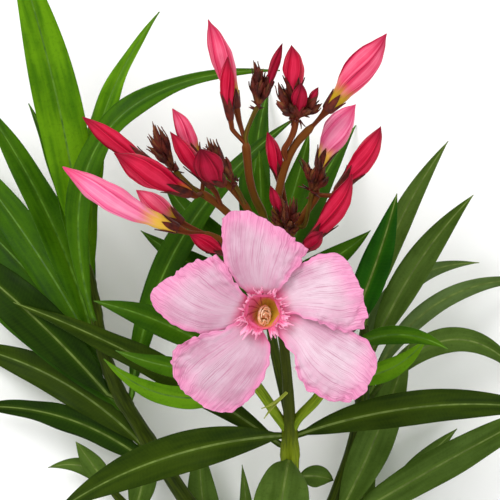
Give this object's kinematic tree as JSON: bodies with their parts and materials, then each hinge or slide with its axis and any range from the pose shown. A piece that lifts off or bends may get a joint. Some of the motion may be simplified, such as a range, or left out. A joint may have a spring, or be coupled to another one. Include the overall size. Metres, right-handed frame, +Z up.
{
  "type": "cut oleander branch",
  "caption": "Cut flowering branch lying flat: forked stem with narrow whorled leaves, a truss of pointed buds and an open pinwheel flower.",
  "frame": {"origin": "middle of the branch's box, on the floor it lies on", "axes": "+Y from the cut end towards the flower truss and the longest extent, +X to the right as the flower faces the viewer, +Z up and the way the flower faces"},
  "size_m": [0.201, 0.229, 0.0895],
  "materials": {
    "stem": "smooth green bark with leaf scars",
    "truss": "smooth brown-red stalks",
    "leaf": "leathery green, semi-gloss, pale midrib",
    "bud": "satin crimson to pink, twisted petals",
    "petal": "soft matt pink with fine veins"
  },
  "bodies": {
    "root": {"stem_main": "stem", "shoot_left": "stem", "shoot_right": "stem", "shoot_inner_left": "stem", "shoot_inner_right": "stem", "truss_centre": "truss", "truss_right": "truss", "truss_upper_right": "truss", "truss_right_low": "truss", "truss_middle": "truss", "truss_left": "truss", "truss_left_low": "truss", "leaf_left_tall": "leaf", "leaf_left_upright": "leaf", "leaf_left_arching": "leaf", "leaf_left_slim": "leaf", "leaf_left_outer": "leaf", "leaf_left_low": "leaf", "leaf_left_broad": "leaf", "leaf_left_under": "leaf", "leaf_left_side": "leaf", "leaf_left_dark": "leaf", "leaf_left_inner": "leaf", "leaf_left_back": "leaf", "leaf_cross": "leaf", "leaf_front_left": "leaf", "leaf_front_right": "leaf", "leaf_front": "leaf", "leaf_inner_far": "leaf", "leaf_inner_middle": "leaf", "leaf_inner_near": "leaf", "leaf_right_hanging": "leaf", "leaf_right_bright": "leaf", "leaf_right_near": "leaf", "leaf_right_curl": "leaf", "leaf_right_tall": "leaf", "leaf_right_second": "leaf", "leaf_right_hooked": "leaf", "leaf_right_level": "leaf", "leaf_right_drooping": "leaf", "leaf_right_low": "leaf", "leaf_right_upright": "leaf", "spray_lower_left": "leaf", "spray_back": "leaf", "spray_lower_right": "leaf", "bud_pink_top": "bud", "bud_red_top": "bud", "bud_pink_great": "bud", "bud_pink_behind": "bud", "bud_red_right": "bud", "bud_red_right_low": "bud", "bud_red_upper": "bud", "bud_red_inner": "bud", "bud_pink_left": "bud", "bud_red_left": "bud", "bud_red_round": "bud", "bud_red_outer": "bud", "bud_red_outer_low": "bud", "bud_pink_outer": "bud", "bloom": "petal"}
  },
  "joints": []
}
